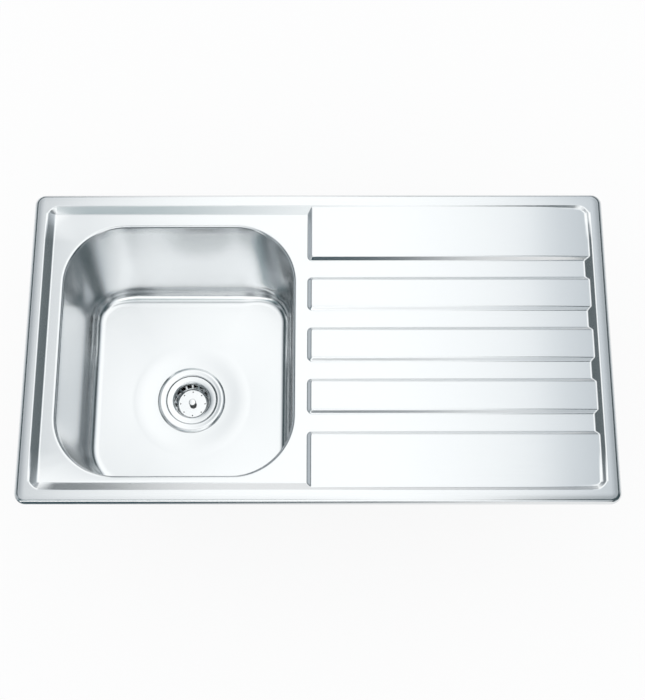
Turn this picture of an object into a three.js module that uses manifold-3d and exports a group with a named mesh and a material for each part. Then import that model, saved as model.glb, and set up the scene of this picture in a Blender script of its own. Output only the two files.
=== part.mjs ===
// Inset stainless steel kitchen sink: one bowl, a ridged drainboard and a basket strainer waste.
// Millimetres. X runs along the sink towards the drainboard, Y towards the wall, Z up.
// The origin is the middle of the worktop cut-out, on the worktop's surface.
import * as THREE from 'three';
import { mergeVertices } from 'three/addons/utils/BufferGeometryUtils.js';
import Module from 'manifold-3d';

const wasm = await Module();
wasm.setup();

// ---- driving dimensions ----

// pressed top
const sinkLength = 900;
const sinkWidth = 500;
const sheet = 0.8; // steel thickness of the top and the bowl
const outerCorner = 17; // corner radius seen from above
const rimHeight = 8; // top of the raised rim above the worktop
const rimWidth = 22.5; // from the outer edge to the start of the inner slope
const rimEdge = 5; // rounding of the rim's outer top edge
const slopeRun = 10.5; // plan width of the slope from the rim down to the deck
const deckHeight = 1; // deck surface above the worktop
const recessCorner = 10; // corner radius of the sunken deck

// drainboard
const panelHeight = 5.5; // top of the raised panels above the worktop
const panelWidth = 50; // measured halfway up the panel's sides
const panelPitch = 83;
const panelSlope = 6; // plan width of a panel's sloping side
const panelCorner = 5;
const panelCount = 3; // free panels between the two that join the rim
const panelMargin = 26; // from the bowl's mouth to the panels

// bowl
const bowlLength = 357;
const bowlLeftMargin = 54; // from the sink's outer edge to the bowl's mouth
const bowlFrontMargin = 44.5;
const bowlBackMargin = 54.5;
const bowlCorner = 82;
const bowlDepth = 200; // from the rim's top to the foot of the walls
const lipRadius = 6; // rounding where the deck turns down into the bowl
const lipDrop = 12; // from the deck to the weld between top and bowl
const sideDraft = 4; // degrees
const backDraft = 10; // degrees
const coveRadius = 30; // rounding between the walls and the floor
const floorFall = 3; // fall of the floor towards the waste
const drainFromLeft = 184; // waste centre from the bowl's mouth
const drainFromFront = 174.5;
const drainHoleRadius = 45;
const seatRadius = 58; // flat seat pressed in the floor for the waste's flange
const seatDepth = 3;
const seatSlope = 6;

// seal under the rim
const sealInset = 3.5;
const sealWidth = 7.5;

// fixing rails and clamps
const railWidth = 10;
const railWall = 1;
const railFoot = 6; // how far the rails reach below the worktop's surface
const railSlot = 5.6;
const railEndMargin = 100; // bare edge of the sink beyond each rail end
const clampEndMargin = 90; // from a rail's end to the clamp
const boltRadius = 2.5;
const boltLength = 49;
const boltHeadLength = 13;
const boltHeadHeight = 3;
const boltSpare = 3; // thread below the nut at rest
const wingNutHeight = 6;
const wingNutRadius = 5;
const wingSpan = 24;
const wingHeight = 9;
const wingThickness = 1.6;
const wingTip = 4; // length of a wing's broad end
const wingBevel = 1; // how much narrower a wing is where it leaves the hub
const washerRadius = 6.5;
const washerThickness = 1.5;
const clawWidth = 16;
const clawThickness = 2;
const clawReach = 28; // from the bolt to the claw's tip
const clawTail = 9;
const clawTooth = 6; // height of the turned up tip

// waste
const flangeRadius = 56;
const wasteSheet = 1.2;
const threadRadius = 43; // outside of the waste's cup
const cupDepth = 43; // from the flange's top to the cup's floor
const cupFloorRadius = 34;
const outletRadius = 19;
const spigotRadius = 23.5;
const spigotLength = 22;
const flangeGasket = 1;
const rubberWasher = 3;
const slipRing = 1;
const beadWidth = 5.5; // raised bead round the flange's edge
const beadRise = 0.4;
const mouthRun = 3.7; // plan width of the slope from the flange down into the cup
const mouthDrop = 4.5;
const cupCorner = 6; // height of the sloping foot of the cup's wall
const outletChamfer = 1.2;
const lockNutHeight = 10;
const lockNutWall = 6;
const lockNutLugs = 6;
const lugReach = 8;
const lugWidth = 11;

// basket
const basketRadius = 40.5;
const basketSheet = 0.8;
const basketBelowFlange = 2.2; // from the flange's top down to the basket's rim
const basketDish = 1.6; // fall of the rim's inner slope, and of its rolled edge
const basketNeck = 4; // from the rim down to the start of the cup's wall
const basketCorner = 1.5; // bevel between the basket's wall and floor
const basketMouth = 29.5;
const basketFloorRadius = 23.5;
const basketDepth = 24; // from the flange's top to the basket's floor
const floorHoles = 8;
const floorHoleRadius = 2.2;
const floorHoleCircle = 15;
const wallSlots = 16;
const wallSlotWidth = 2.6;
const wallSlotHeight = 9;
const knobRadius = 7;
const knobHeight = 7.5;
const knobNeck = 4.6;
const knobCap = 2.5; // metal over the post's end
const postRadius = 3;
const postHead = 7; // radius of the head under the stopper
const postHeadHeight = 2;
const postCollar = 5; // radius of the shoulder that carries the basket
const stopperRadius = 26;
const stopperThickness = 4;

// sound pads stuck under the steel
const padThickness = 3;
const padDrainGap = 18; // bare ring round the waste's seat
const padWallGap = 12; // bare floor at the foot of the walls
const drainPadMargin = 45; // bare steel round the drainboard's pad

// clearances
const touch = 0.3; // between pieces that rest on each other
const threadPlay = 0.3;
const holePlay = 0.6;
const overcut = 2; // how far a cutter runs past what it cuts

// ---- values worked out from them ----

const halfLength = sinkLength / 2;
const halfWidth = sinkWidth / 2;
const skirtFoot = deckHeight - sheet;
const bowlLeft = -halfLength + bowlLeftMargin;
const bowlRight = bowlLeft + bowlLength;
const bowlFront = -halfWidth + bowlFrontMargin;
const bowlBack = halfWidth - bowlBackMargin;
const wallTop = deckHeight - lipRadius;
const weldHeight = deckHeight - lipDrop;
const floorHeight = rimHeight - bowlDepth;
const seatEdgeHeight = floorHeight - floorFall;
const seatHeight = seatEdgeHeight - seatDepth;
const drainX = bowlLeft + drainFromLeft;
const drainY = bowlFront + drainFromFront;
const arcSteps = 8;
const sideSteps = 4;
const outlineSteps = 4 * (arcSteps + sideSteps);
const roundSteps = 36;
const smallSteps = 12;
const edgeAngles = [0, 30, 60, 90];
const coveAngles = [80, 62, 45, 28, 12, 0];

const steel = { color: 0xc6ced3, metalness: 1, roughness: 0.28 };
const zincSteel = { color: 0xb4b8ba, metalness: 1, roughness: 0.42 };
const polishedSteel = { color: 0xd3d8db, metalness: 1, roughness: 0.16 };
const blackRubber = { color: 0x2a2b2c, metalness: 0, roughness: 0.8 };
const greyFoam = { color: 0x55585a, metalness: 0, roughness: 0.95 };
const whiteNylon = { color: 0xe6e6e0, metalness: 0, roughness: 0.5 };
const blackNylon = { color: 0x1f2324, metalness: 0, roughness: 0.4 };
const padBitumen = { color: 0x3a3c3e, metalness: 0, roughness: 0.9 };

const radians = THREE.MathUtils.degToRad;
const sink = new THREE.Group();

function addMesh(name, geometry, finish, parent = sink) {
  const flat = geometry.index ? geometry.toNonIndexed() : geometry;
  flat.computeVertexNormals();
  const mesh = new THREE.Mesh(flat, new THREE.MeshStandardMaterial(finish));
  mesh.name = name;
  parent.add(mesh);
  return mesh;
}

// ---- solids and booleans ----

function toSolid(geometry) {
  const bare = geometry.clone();
  bare.deleteAttribute('normal');
  bare.deleteAttribute('uv');
  const merged = mergeVertices(bare, 1e-4);
  return new wasm.Manifold(new wasm.Mesh({
    numProp: 3,
    vertProperties: new Float32Array(merged.attributes.position.array),
    triVerts: new Uint32Array(merged.index.array),
  }));
}

function toGeometry(solid) {
  const mesh = solid.getMesh();
  const geometry = new THREE.BufferGeometry();
  geometry.setAttribute('position', new THREE.BufferAttribute(mesh.vertProperties, 3));
  geometry.setIndex(new THREE.BufferAttribute(mesh.triVerts, 1));
  return geometry;
}

// Rings of equally many points, joined one to the next. A closed skin also joins the last ring
// to the first, and an open one is capped at both ends.
function skin(rings, closed) {
  const steps = rings[0].length;
  const positions = rings.flat().flatMap((point) => point.toArray());
  const triangles = [];
  const bands = closed ? rings.length : rings.length - 1;
  for (let band = 0; band < bands; band += 1) {
    const low = band * steps;
    const high = ((band + 1) % rings.length) * steps;
    for (let i = 0; i < steps; i += 1) {
      const next = (i + 1) % steps;
      triangles.push(low + i, low + next, high + next);
      triangles.push(low + i, high + next, high + i);
    }
  }
  if (!closed) {
    const last = (rings.length - 1) * steps;
    for (let i = 1; i < steps - 1; i += 1) {
      triangles.push(0, i + 1, i);
      triangles.push(last, last + i, last + i + 1);
    }
  }
  const geometry = new THREE.BufferGeometry();
  geometry.setAttribute('position', new THREE.Float32BufferAttribute(positions, 3));
  geometry.setIndex(triangles);
  return geometry;
}

// A rectangle with rounded corners as a ring of points, anticlockwise from the right-back corner.
function roundedRing(box, z) {
  const { left, right, front, back, frontRadius, backRadius } = box;
  const corners = [
    [right - backRadius, back - backRadius, backRadius],
    [left + backRadius, back - backRadius, backRadius],
    [left + frontRadius, front + frontRadius, frontRadius],
    [right - frontRadius, front + frontRadius, frontRadius],
  ];
  const arcs = corners.map(([x, y, radius], corner) => {
    const start = (corner * Math.PI) / 2;
    return Array.from({ length: arcSteps + 1 }, (_, i) => {
      const angle = start + ((Math.PI / 2) * i) / arcSteps;
      return new THREE.Vector3(x + radius * Math.cos(angle), y + radius * Math.sin(angle), z);
    });
  });
  return arcs.flatMap((arc, corner) => {
    const from = arc[arcSteps];
    const to = arcs[(corner + 1) % 4][0];
    const side = Array.from({ length: sideSteps - 1 }, (_, i) => (
      from.clone().lerp(to, (i + 1) / sideSteps)
    ));
    return [...arc, ...side];
  });
}

// A circle with the same number of points, which start at the matching angle.
function circleRing(x, y, radius, z) {
  const step = (2 * Math.PI) / outlineSteps;
  const start = (sideSteps / 2) * step;
  return Array.from({ length: outlineSteps }, (_, i) => new THREE.Vector3(
    x + radius * Math.cos(start + step * i),
    y + radius * Math.sin(start + step * i),
    z,
  ));
}

function sinkOutline(inset, radius) {
  return {
    left: -halfLength + inset,
    right: halfLength - inset,
    front: -halfWidth + inset,
    back: halfWidth - inset,
    frontRadius: radius,
    backRadius: radius,
  };
}

// The bowl's outline, drawn in from its mouth by one inset at the sides and another at the back.
function bowlOutline(sideInset, backInset) {
  return {
    left: bowlLeft + sideInset,
    right: bowlRight - sideInset,
    front: bowlFront + sideInset,
    back: bowlBack - backInset,
    frontRadius: bowlCorner - sideInset,
    backRadius: bowlCorner - (sideInset + backInset) / 2,
  };
}

// How far a bowl wall has drawn in at a height. The offset is 0 on the inside face and
// the sheet's thickness on the outside.
function wallInset(z, draft, offset) {
  const angle = radians(draft);
  const radius = coveRadius + offset;
  const centreZ = floorHeight + coveRadius;
  const tangentZ = centreZ - radius * Math.sin(angle);
  const onWall = (height) => (wallTop - height) * Math.tan(angle) - offset / Math.cos(angle);
  if (z > tangentZ) {
    return onWall(z);
  }
  const centre = onWall(tangentZ) + radius * Math.cos(angle);
  const drop = Math.min(centreZ - z, radius);
  return centre - Math.sqrt(radius ** 2 - drop ** 2);
}

function wallRing(z, offset) {
  const sides = wallInset(z, sideDraft, offset);
  const back = wallInset(z, backDraft, offset);
  return roundedRing(bowlOutline(sides, back), z);
}

function coveHeights(offset) {
  const radius = coveRadius + offset;
  return coveAngles.map((degrees) => (
    floorHeight + coveRadius - radius * Math.cos(radians(degrees))
  ));
}

// ---- pressed top ----

// Everything below one face of the pressed sheet: the offset is 0 for the upper face and
// the sheet's thickness for the lower one.
function belowFace(offset, footHeight) {
  const edge = rimEdge - offset;
  const rimRings = [roundedRing(sinkOutline(offset, outerCorner - offset), footHeight)];
  edgeAngles.forEach((degrees) => {
    const inset = rimEdge - edge * Math.cos(radians(degrees));
    const z = rimHeight - rimEdge + edge * Math.sin(radians(degrees));
    rimRings.push(roundedRing(sinkOutline(inset, outerCorner - inset), z));
  });
  let solid = toSolid(skin(rimRings, false));

  // the sunken deck, with its sloping border
  const slopeDrop = rimHeight - deckHeight;
  const slopeLength = Math.hypot(slopeRun, slopeDrop);
  const slopeInset = (z) => {
    const startInset = rimWidth - (offset * slopeDrop) / slopeLength;
    const startZ = rimHeight - (offset * slopeRun) / slopeLength;
    return startInset + ((startZ - z) * slopeRun) / slopeDrop;
  };
  const recessRings = [deckHeight - offset, rimHeight + overcut].map((z) => {
    const inset = slopeInset(z);
    return roundedRing(sinkOutline(inset, recessCorner + rimWidth + slopeRun - inset), z);
  });
  solid = solid.subtract(toSolid(skin(recessRings, false)));

  // the raised panels
  const panelRise = panelHeight - deckHeight;
  const panelSide = Math.hypot(panelSlope, panelRise);
  const spread = (z) => {
    const topSpread = -panelSlope / 2 - (offset * panelRise) / panelSide;
    const topZ = panelHeight - (offset * panelSlope) / panelSide;
    return topSpread + ((topZ - z) * panelSlope) / panelRise;
  };
  const hiddenInset = rimWidth - 2 * sheet; // a joined panel ends inside the rim
  const panelEdges = [];
  for (let i = 0; i < panelCount; i += 1) {
    const middle = (i - (panelCount - 1) / 2) * panelPitch;
    panelEdges.push([middle - panelWidth / 2, middle + panelWidth / 2, false, false]);
  }
  const lastEdge = ((panelCount + 1) / 2) * panelPitch - panelWidth / 2;
  panelEdges.push([lastEdge, halfWidth - hiddenInset, false, true]);
  panelEdges.push([-halfWidth + hiddenInset, -lastEdge, true, false]);
  panelEdges.forEach(([front, back, frontJoined, backJoined]) => {
    const rings = [deckHeight - offset - sheet / 2, panelHeight - offset].map((z) => roundedRing({
      left: bowlRight + panelMargin - spread(z),
      right: halfLength - hiddenInset,
      front: front - (frontJoined ? 0 : spread(z)),
      back: back + (backJoined ? 0 : spread(z)),
      frontRadius: panelCorner,
      backRadius: panelCorner,
    }, z));
    solid = solid.add(toSolid(skin(rings, false)));
  });
  return solid;
}

// The bowl's mouth, with the rounded lip that turns down into it.
function mouthCutter(offset) {
  const radius = lipRadius - offset;
  const rings = [];
  const addRing = (outset, z) => rings.push(roundedRing(bowlOutline(-outset, -outset), z));
  const below = weldHeight - lipDrop;
  rings.push(wallRing(below, offset));
  edgeAngles.forEach((degrees) => {
    const angle = radians(degrees);
    addRing(lipRadius - radius * Math.cos(angle), wallTop + radius * Math.sin(angle));
  });
  addRing(lipRadius, rimHeight + overcut);
  return toSolid(skin(rings, false));
}

function buildTop() {
  const blockOutline = bowlOutline(-lipRadius - overcut, -lipRadius - overcut);
  const lipBlock = toSolid(skin([
    roundedRing(blockOutline, weldHeight),
    roundedRing(blockOutline, deckHeight - sheet / 2),
  ], false));
  const upper = belowFace(0, skirtFoot).add(lipBlock).subtract(mouthCutter(0));
  const lower = belowFace(sheet, weldHeight - overcut).subtract(mouthCutter(sheet));
  return toGeometry(upper.subtract(lower));
}

addMesh('sink_top', buildTop(), steel);

// ---- bowl ----

// A ring partway from the foot of the walls to the waste's seat, some depth under the floor.
function floorRing(share, depth) {
  const foot = wallRing(floorHeight, 0);
  const edge = circleRing(drainX, drainY, seatRadius + seatSlope, seatEdgeHeight);
  return foot.map((point, i) => {
    const mixed = point.clone().lerp(edge[i], share);
    return new THREE.Vector3(mixed.x, mixed.y, mixed.z - depth);
  });
}

function buildBowl() {
  const face = (offset) => [
    wallRing(weldHeight - touch, offset),
    wallRing((weldHeight + floorHeight) / 2, offset),
    ...coveHeights(offset).map((z) => wallRing(z, offset)),
    circleRing(drainX, drainY, seatRadius + seatSlope, seatEdgeHeight - offset),
    circleRing(drainX, drainY, seatRadius, seatHeight - offset),
    circleRing(drainX, drainY, drainHoleRadius, seatHeight - offset),
  ];
  return skin([...face(sheet).reverse(), ...face(0)], true);
}

addMesh('bowl', buildBowl(), steel);

// ---- sound pads ----

function buildBowlPad() {
  const floorSpan = Math.min(bowlLength, bowlBack - bowlFront) / 2 - seatRadius - seatSlope;
  const outer = (padWallGap + coveRadius) / floorSpan;
  const inner = 1 - padDrainGap / floorSpan;
  const top = sheet + touch;
  const bottom = top + padThickness;
  return skin([
    floorRing(outer, bottom),
    floorRing(inner, bottom),
    floorRing(inner, top),
    floorRing(outer, top),
  ].reverse(), true);
}

addMesh('bowl_pad', buildBowlPad(), padBitumen);

function buildDrainboardPad() {
  const inset = rimWidth + slopeRun + drainPadMargin;
  const box = {
    left: bowlRight + panelMargin + drainPadMargin,
    right: halfLength - inset,
    front: -halfWidth + inset,
    back: halfWidth - inset,
    frontRadius: recessCorner,
    backRadius: recessCorner,
  };
  const top = deckHeight - sheet - touch;
  return skin([roundedRing(box, top - padThickness), roundedRing(box, top)], false);
}

addMesh('drainboard_pad', buildDrainboardPad(), padBitumen);

// ---- foam seal under the rim ----

function buildSeal() {
  const inner = sealInset + sealWidth;
  const top = rimHeight - sheet - 2 * touch;
  const outerRing = (z) => roundedRing(sinkOutline(sealInset, outerCorner - sealInset), z);
  const innerRing = (z) => roundedRing(sinkOutline(inner, outerCorner - inner), z);
  return skin([outerRing(0), outerRing(top), innerRing(top), innerRing(0)], true);
}

addMesh('seal_strip', buildSeal(), greyFoam);

// ---- fixing rails and clamps ----

// Each edge has its own group: its X runs along the edge and its Y points away from the sink.
const railInset = sealInset + sealWidth + 1 + railWidth / 2;
const railTop = rimHeight - sheet - touch;
const edges = [
  { name: 'back', turn: 0, x: 0, y: halfWidth - railInset, length: sinkLength, clamps: 2 },
  { name: 'front', turn: 180, x: 0, y: -halfWidth + railInset, length: sinkLength, clamps: 2 },
  { name: 'left', turn: 90, x: -halfLength + railInset, y: 0, length: sinkWidth, clamps: 1 },
  { name: 'right', turn: -90, x: halfLength - railInset, y: 0, length: sinkWidth, clamps: 1 },
];

// A channel, open downwards, with two lips that carry the bolts' heads.
function buildRail(length) {
  const half = railWidth / 2;
  const inside = half - railWall;
  const slot = railSlot / 2;
  const outline = new THREE.Shape([
    [-half, -railFoot],
    [-slot, -railFoot],
    [-slot, -railFoot + railWall],
    [-inside, -railFoot + railWall],
    [-inside, railTop - railWall],
    [inside, railTop - railWall],
    [inside, -railFoot + railWall],
    [slot, -railFoot + railWall],
    [slot, -railFoot],
    [half, -railFoot],
    [half, railTop],
    [-half, railTop],
  ].map(([y, z]) => new THREE.Vector2(y, z)));
  const geometry = new THREE.ExtrudeGeometry(outline, { depth: length, bevelEnabled: false });
  geometry.translate(0, 0, -length / 2);
  geometry.rotateX(Math.PI / 2);
  geometry.rotateZ(Math.PI / 2);
  return geometry;
}

// A round solid from its half profile, in radius and height, lowest point first.
function turned(profile, steps) {
  const points = profile.map(([radius, z]) => new THREE.Vector2(radius, z));
  const geometry = new THREE.LatheGeometry(points, steps);
  geometry.rotateX(Math.PI / 2);
  return geometry;
}

// A round ring or tube: its profile closes on itself and runs anticlockwise.
function ring(inner, outer, low, high, steps) {
  return turned([[inner, low], [outer, low], [outer, high], [inner, high], [inner, low]], steps);
}

const headFoot = -railFoot + railWall + touch;
const nutFoot = headFoot - boltLength + boltSpare;
const nutTop = nutFoot + wingNutHeight;
const washerFoot = nutTop + touch;
const clawFoot = washerFoot + washerThickness + touch;

function buildBolt() {
  const shank = turned([
    [0, headFoot - boltLength],
    [boltRadius, headFoot - boltLength],
    [boltRadius, headFoot + boltHeadHeight / 2],
    [0, headFoot + boltHeadHeight / 2],
  ], smallSteps);
  const headWidth = railWidth - 2 * railWall - 2 * touch;
  const head = new THREE.BoxGeometry(boltHeadLength, headWidth, boltHeadHeight);
  head.translate(0, 0, headFoot + boltHeadHeight / 2);
  return toGeometry(toSolid(shank).add(toSolid(head)));
}

function buildWingNut() {
  const hub = turned([
    [0, nutFoot],
    [wingNutRadius, nutFoot],
    [wingNutRadius, nutTop],
    [0, nutTop],
  ], smallSteps);
  const tip = wingSpan / 2;
  const low = -boltSpare;
  const high = low + wingHeight;
  const wing = new THREE.Shape([
    [0, wingBevel],
    [tip - wingTip, low],
    [tip, low],
    [tip, high - wingBevel],
    [tip - wingTip, high],
    [0, wingNutHeight - wingBevel],
    [wingTip - tip, high],
    [-tip, high - wingBevel],
    [-tip, low],
    [wingTip - tip, low],
  ].map(([x, z]) => new THREE.Vector2(x, z)));
  const wings = new THREE.ExtrudeGeometry(wing, { depth: wingThickness, bevelEnabled: false });
  wings.translate(0, 0, -wingThickness / 2);
  wings.rotateX(Math.PI / 2);
  wings.translate(0, 0, nutFoot);
  const bore = turned([
    [0, nutFoot - wingHeight],
    [boltRadius + threadPlay, nutFoot - wingHeight],
    [boltRadius + threadPlay, nutTop + wingHeight],
    [0, nutTop + wingHeight],
  ], smallSteps);
  return toGeometry(toSolid(hub).add(toSolid(wings)).subtract(toSolid(bore)));
}

// A strip with its tip turned up. At rest it lies along the rail, clear of the cut-out.
function buildClaw() {
  const profile = new THREE.Shape([
    [-clawTail, 0],
    [clawReach, 0],
    [clawReach, clawThickness + clawTooth],
    [clawReach - clawThickness, clawThickness + clawTooth],
    [clawReach - clawThickness, clawThickness],
    [-clawTail, clawThickness],
  ].map(([x, z]) => new THREE.Vector2(x, z)));
  const strip = new THREE.ExtrudeGeometry(profile, { depth: clawWidth, bevelEnabled: false });
  strip.translate(0, 0, -clawWidth / 2);
  strip.rotateX(Math.PI / 2);
  strip.translate(0, 0, clawFoot);
  const hole = turned([
    [0, clawFoot - clawThickness],
    [boltRadius + holePlay, clawFoot - clawThickness],
    [boltRadius + holePlay, clawFoot + 2 * clawThickness],
    [0, clawFoot + 2 * clawThickness],
  ], smallSteps);
  return toGeometry(toSolid(strip).subtract(toSolid(hole)));
}

const boltShape = buildBolt();
const wingNutShape = buildWingNut();
const clawShape = buildClaw();
const washerTop = washerFoot + washerThickness;
const washerShape = ring(boltRadius + holePlay, washerRadius, washerFoot, washerTop, smallSteps);
let clampNumber = 0;

edges.forEach((edge) => {
  const group = new THREE.Group();
  group.position.set(edge.x, edge.y, 0);
  group.rotation.z = radians(edge.turn);
  sink.add(group);
  const railLength = edge.length - 2 * railEndMargin;
  addMesh(`rail_${edge.name}`, buildRail(railLength), zincSteel, group);
  for (let i = 0; i < edge.clamps; i += 1) {
    clampNumber += 1;
    const spacing = railLength - 2 * clampEndMargin;
    const along = (i - (edge.clamps - 1) / 2) * spacing;
    const pieces = [
      addMesh(`clamp_${clampNumber}_bolt`, boltShape, zincSteel, group),
      addMesh(`clamp_${clampNumber}_claw`, clawShape, zincSteel, group),
      addMesh(`clamp_${clampNumber}_washer`, washerShape, zincSteel, group),
      addMesh(`clamp_${clampNumber}_wing_nut`, wingNutShape, zincSteel, group),
    ];
    pieces.forEach((piece) => { piece.position.x = along; });
  }
});

// ---- waste: heights are absolute, radii are from the drain's centre ----

const waste = new THREE.Group();
waste.position.set(drainX, drainY, 0);
sink.add(waste);

const gasketTop = seatHeight + touch + flangeGasket;
const flangeFoot = gasketTop + touch;
const flangeTop = flangeFoot + wasteSheet;
const cupFloor = flangeTop - cupDepth;
const cupInside = threadRadius - wasteSheet;
const edgeTurn = flangeFoot - flangeGasket;

const beadTop = flangeTop + beadRise;
const wasteProfile = [
  // outside, from the spigot up to the flange's edge
  [outletRadius, cupFloor - spigotLength],
  [spigotRadius, cupFloor - spigotLength],
  [spigotRadius, cupFloor - wasteSheet],
  [cupFloorRadius + wasteSheet, cupFloor - wasteSheet],
  [threadRadius, cupFloor + cupCorner],
  [threadRadius, flangeFoot - mouthDrop / 2],
  [threadRadius + mouthDrop / 2, flangeFoot],
  [flangeRadius - wasteSheet, flangeFoot],
  [flangeRadius - wasteSheet, edgeTurn],
  [flangeRadius, edgeTurn],
  // upper face, in from the beaded edge and down into the cup
  [flangeRadius, flangeTop - beadRise],
  [flangeRadius - beadWidth / 4, beadTop],
  [flangeRadius - (beadWidth * 3) / 4, beadTop],
  [flangeRadius - beadWidth, flangeTop],
  [cupInside + mouthRun, flangeTop],
  [cupInside + mouthRun / 4, flangeTop - mouthDrop / 2],
  [cupInside, flangeTop - mouthDrop],
  [cupInside, cupFloor + cupCorner],
  [cupFloorRadius, cupFloor],
  [outletRadius + outletChamfer, cupFloor],
  [outletRadius, cupFloor - outletChamfer],
  [outletRadius, cupFloor - spigotLength],
];
addMesh('waste_body', turned(wasteProfile, roundSteps), polishedSteel, waste);

const gasketInner = threadRadius + mouthDrop / 2 + threadPlay;
const gasketOuter = flangeRadius - wasteSheet - touch;
const gasketFoot = seatHeight + touch;
const gasketShape = ring(gasketInner, gasketOuter, gasketFoot, gasketTop, roundSteps);
addMesh('flange_gasket', gasketShape, greyFoam, waste);

const bore = threadRadius + threadPlay;
const rubberTop = seatHeight - sheet - touch;
const rubberFoot = rubberTop - rubberWasher;
const rubberShape = ring(bore, flangeRadius, rubberFoot, rubberTop, roundSteps);
addMesh('rubber_washer', rubberShape, blackRubber, waste);

const slipTop = rubberFoot - touch;
const slipFoot = slipTop - slipRing;
addMesh('slip_ring', ring(bore, flangeRadius, slipFoot, slipTop, roundSteps), whiteNylon, waste);

function buildLockNut() {
  const top = slipFoot - touch;
  const outer = bore + lockNutWall;
  let nut = toSolid(ring(bore, outer, top - lockNutHeight, top, roundSteps));
  for (let i = 0; i < lockNutLugs; i += 1) {
    const lug = new THREE.BoxGeometry(lockNutWall / 2 + lugReach, lugWidth, lockNutHeight);
    lug.translate(outer - lockNutWall / 2 + lug.parameters.width / 2, 0, top - lockNutHeight / 2);
    lug.rotateZ((2 * Math.PI * i) / lockNutLugs);
    nut = nut.add(toSolid(lug));
  }
  return toGeometry(nut);
}

addMesh('lock_nut', buildLockNut(), zincSteel, waste);

// ---- basket ----

const basketRim = flangeTop - basketBelowFlange;
const basketFloor = flangeTop - basketDepth;
const basketUnder = basketFloor - basketSheet;
const postHole = postRadius + threadPlay;

function buildBasket() {
  const shell = turned([
    [postHole, basketUnder],
    [basketFloorRadius - basketCorner + basketSheet / 2, basketUnder],
    [basketFloorRadius + basketSheet, basketUnder + basketCorner],
    [basketMouth, basketRim - basketNeck],
    [basketMouth + 2 * basketSheet, basketRim - basketDish - basketSheet],
    [basketRadius - basketDish, basketRim - basketSheet],
    [basketRadius, basketRim - 2 * basketSheet],
    [basketRadius, basketRim - basketSheet],
    [basketRadius - basketDish, basketRim],
    [basketMouth + basketDish, basketRim - basketDish],
    [basketMouth - basketSheet, basketRim - basketNeck],
    [basketFloorRadius, basketFloor + basketCorner],
    [basketFloorRadius - basketCorner, basketFloor],
    [postHole, basketFloor],
    [postHole, basketUnder],
  ], roundSteps);
  const cutters = [];
  for (let i = 0; i < floorHoles; i += 1) {
    const hole = new THREE.CylinderGeometry(floorHoleRadius, floorHoleRadius, 4 * basketSheet, 8);
    hole.rotateX(Math.PI / 2);
    hole.translate(floorHoleCircle, 0, basketFloor - basketSheet / 2);
    hole.rotateZ((2 * Math.PI * i) / floorHoles);
    cutters.push(hole);
  }
  const slotReach = 2 * (basketMouth - basketFloorRadius);
  const slotMiddle = (basketFloor + basketRim - basketNeck + basketCorner) / 2;
  for (let i = 0; i < wallSlots; i += 1) {
    const slot = new THREE.BoxGeometry(slotReach, wallSlotWidth, wallSlotHeight);
    slot.translate((basketMouth + basketFloorRadius) / 2, 0, slotMiddle);
    slot.rotateZ((2 * Math.PI * (i + 0.5)) / wallSlots);
    cutters.push(slot);
  }
  let solid = toSolid(shell);
  cutters.forEach((cutter) => { solid = solid.subtract(toSolid(cutter)); });
  return toGeometry(solid);
}

addMesh('basket_cup', buildBasket(), polishedSteel, waste);

const stopperFoot = cupFloor + touch;
const stopperTop = stopperFoot + stopperThickness;
const stopperShape = ring(postHole, stopperRadius, stopperFoot, stopperTop, roundSteps);
addMesh('basket_stopper', stopperShape, blackRubber, waste);

// The post carries the stopper on its head and the basket on its collar.
const knobFoot = basketFloor + touch;
const postTop = knobFoot + knobHeight - knobCap;
const headTop = stopperFoot - touch;
const postShape = turned([
  [0, headTop - postHeadHeight],
  [postHead, headTop - postHeadHeight],
  [postHead, headTop],
  [postRadius, headTop],
  [postRadius, stopperTop + touch],
  [postCollar, stopperTop + touch],
  [postCollar, basketUnder - touch],
  [postRadius, basketUnder - touch],
  [postRadius, postTop],
  [0, postTop],
], smallSteps * 2);
addMesh('basket_post', postShape, polishedSteel, waste);

const knobShape = turned([
  [postHole, knobFoot],
  [knobNeck, knobFoot],
  [knobNeck, knobFoot + knobHeight / 4],
  [knobRadius, knobFoot + knobHeight / 2],
  [knobRadius, knobFoot + knobHeight * 0.75],
  [knobNeck, knobFoot + knobHeight * 0.95],
  [0, knobFoot + knobHeight],
  [0, postTop + touch],
  [postHole, postTop + touch],
  [postHole, knobFoot],
], smallSteps * 2);
addMesh('basket_knob', knobShape, blackNylon, waste);

export default sink;
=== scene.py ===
import bmesh
import bpy
from math import asin, atan2, cos, pi, radians, sin, tan
from mathutils import Matrix, Vector


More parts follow.
